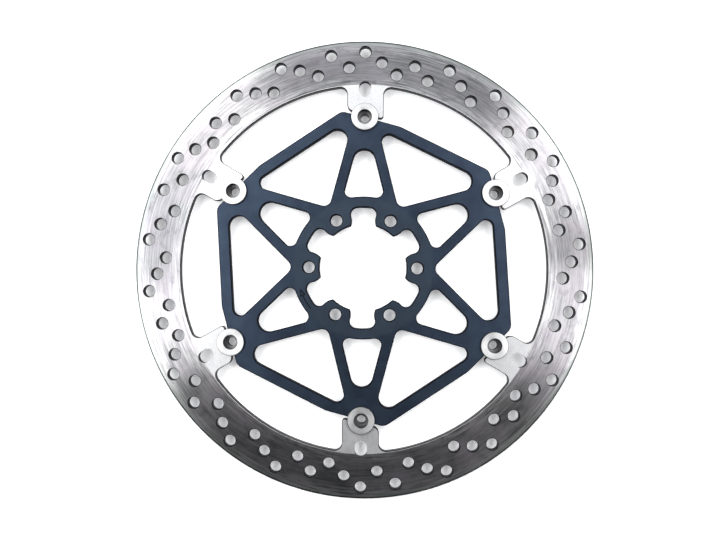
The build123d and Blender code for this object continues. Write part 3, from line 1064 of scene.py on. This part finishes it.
class DISC_OT_washers(bpy.types.Operator):
    """Flat washers and conical spring washers behind the bobbins"""

    bl_idname = "disc.washers"
    bl_label = "Washers"

    def execute(self, context):
        size, finish = context.scene.disc_bobbin, context.scene.disc_finish
        bore = size.barrel_radius + size.washer_clearance
        flat_back, flat_front = (corner[2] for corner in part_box("flat_washer_1"))
        outer = BOBBIN_WIDTH / 2
        flat = softened(
            [(bore, flat_back), (outer, flat_back), (outer, flat_front), (bore, flat_front)],
            WASHER_ROUND,
        )
        cone_back, cone_front = (corner[2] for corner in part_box("spring_washer_1"))
        cone = softened(
            [
                (bore, cone_back),
                (outer, cone_front - size.spring_thickness),
                (outer, cone_front),
                (bore, cone_front - size.spring_rise),
            ],
            SPRING_ROUND,
        )
        plain = turned_metal("washer_steel", finish.washer_steel, 0.3, 3.0, 0.15, 0.2)
        spring = turned_metal("spring_steel", finish.spring_steel, 0.3, 2.0, 0.15, 0.3)
        for k in range(STATIONS):
            at_station(k, "washer_flat", flat, [plain], "flat_washer")
            at_station(k, "washer_spring", cone, [spring], "spring_washer")
        return {"FINISHED"}


class DISC_OT_retainers(bpy.types.Operator):
    """Finish of the retaining rings, whose shape is the CAD node's"""

    bl_idname = "disc.retainers"
    bl_label = "Retaining rings"

    def execute(self, context):
        steel = retainer_steel()
        for k in range(STATIONS):
            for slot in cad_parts[f"retaining_ring_{k + 1}"].material_slots:
                slot.material = steel
        return {"FINISHED"}


class DISC_OT_stage(bpy.types.Operator):
    """Pale floor, soft boxes and camera"""

    bl_idname = "disc.stage"
    bl_label = "Stage"

    def execute(self, context):
        scene = context.scene
        stage = scene.disc_stage
        self.make_floor(stage)
        self.make_lights()
        self.make_camera(stage)
        scene.view_settings.view_transform = "Standard"
        return {"FINISHED"}

    def make_floor(self, stage):
        half = stage.floor_size / 2
        level = CAD_BOX[0][2]
        mesh = bpy.data.meshes.new("floor")
        square = [(-half, -half), (half, -half), (half, half), (-half, half)]
        mesh.from_pydata([(x, y, level) for x, y in square], [], [(0, 1, 2, 3)])
        floor = add_object("floor", mesh)
        material, shader, finish = new_material("floor_paper")
        paper, output = shader.surface(
            Base_Color=finish.floor,
            Roughness=0.9,
            Specular_IOR_Level=0.1,
            Emission_Color=(0.97, 0.98, 1.0),
            Emission_Strength=stage.floor_glow,
        )
        # The floor is clear from underneath, so that the back of the disc can be looked at.
        below = shader.value("ShaderNodeNewGeometry", output="Backfacing")
        clear = shader.node("ShaderNodeBsdfTransparent")
        sheet = shader.node("ShaderNodeMixShader", None, {0: below})
        shader.link(paper, sheet, 1)
        shader.link(clear, sheet, 2)
        shader.link(sheet, output)
        mesh.materials.append(material)

    def make_lights(self):
        for name, turn, rise, distance, width, height, power, tint in SOFT_BOXES:
            light = bpy.data.lights.new(f"softbox_{name}", "AREA")
            light.shape = "RECTANGLE"
            light.size, light.size_y = width, height
            light.energy, light.color = power, tint
            lamp = add_object(light.name, light)
            flat = spin(turn) * math.cos(math.radians(rise))
            spot = Vector((flat.real, flat.imag, math.sin(math.radians(rise)))) * distance
            lamp.location = spot
            lamp.rotation_euler = (-spot).to_track_quat("-Z", "Y").to_euler()
            lamp.visible_camera = False
        world = bpy.data.worlds.new("room")
        bpy.context.scene.world = world
        shader = Shader(world)
        # Dim overhead and brighter round the horizon; plain white where the camera sees it.
        seen = shader.value("ShaderNodeLightPath", output="Is Camera Ray")
        upward = shader.parts("ShaderNodeTexCoord", "Generated")[2]
        horizon = 1 - shader.smooth(upward, *HORIZON_FADE)
        strength = shader.math("MAXIMUM", seen, OVERHEAD_LIGHT + horizon * HORIZON_LIGHT)
        sky = {"Color": (0.95, 0.97, 1.0), "Strength": strength}
        back = shader.node("ShaderNodeBackground", None, sky)
        shader.link(back, shader.node("ShaderNodeOutputWorld"))

    def make_camera(self, stage):
        camera = bpy.data.cameras.new("camera")
        camera.sensor_width = 36.0
        camera.lens = stage.lens
        camera.clip_start = 0.01
        thing = add_object("camera", camera)
        sight = Vector((stage.lean_right, stage.lean_up, -1.0)).normalized()
        right = sight.cross(Vector((0, 1, 0))).normalized()
        up = right.cross(sight)
        spot = Vector((stage.camera_right, stage.camera_up, stage.camera_height))
        basis = Matrix((right, up, -sight)).transposed().to_4x4()
        turn = Matrix.Rotation(stage.roll, 4, "Z")
        lift = Matrix.Translation((0, 0, CARRIER_HIGH))
        thing.matrix_world = lift @ turn @ Matrix.Translation(spot) @ basis
        bpy.context.scene.camera = thing


class DISC_PT_panel(bpy.types.Panel):
    """Buttons for the disc's pieces and stage"""

    bl_label = "Floating brake disc"
    bl_idname = "DISC_PT_panel"
    bl_space_type = "VIEW_3D"
    bl_region_type = "UI"
    bl_category = "Brake Disc"

    def draw(self, context):
        for operator in OPERATORS:
            self.layout.operator(operator.bl_idname)
        for name in GROUPS:
            box = self.layout.box()
            group = getattr(context.scene, name)
            for prop in group.bl_rna.properties:
                if prop.identifier in group.__annotations__:
                    box.prop(group, prop.identifier)


GROUPS = {
    "disc_ring": DISC_PG_ring,
    "disc_carrier": DISC_PG_carrier,
    "disc_bobbin": DISC_PG_bobbin,
    "disc_finish": DISC_PG_finish,
    "disc_stage": DISC_PG_stage,
}
OPERATORS = (
    DISC_OT_ring,
    DISC_OT_carrier,
    DISC_OT_bobbins,
    DISC_OT_washers,
    DISC_OT_retainers,
    DISC_OT_stage,
)


def register():
    for group in GROUPS.values():
        bpy.utils.register_class(group)
    for operator in (*OPERATORS, DISC_PT_panel):
        bpy.utils.register_class(operator)
    for name, group in GROUPS.items():
        setattr(bpy.types.Scene, name, bpy.props.PointerProperty(type=group))


def unregister():
    for name in GROUPS:
        delattr(bpy.types.Scene, name)
    for thing in (DISC_PT_panel, *reversed(OPERATORS), *reversed(GROUPS.values())):
        bpy.utils.unregister_class(thing)


def main():
    register()
    bpy.ops.disc.stage()
    bpy.ops.disc.ring()
    bpy.ops.disc.carrier()
    bpy.ops.disc.bobbins()
    bpy.ops.disc.washers()
    bpy.ops.disc.retainers()


if __name__ == "__main__":
    main()
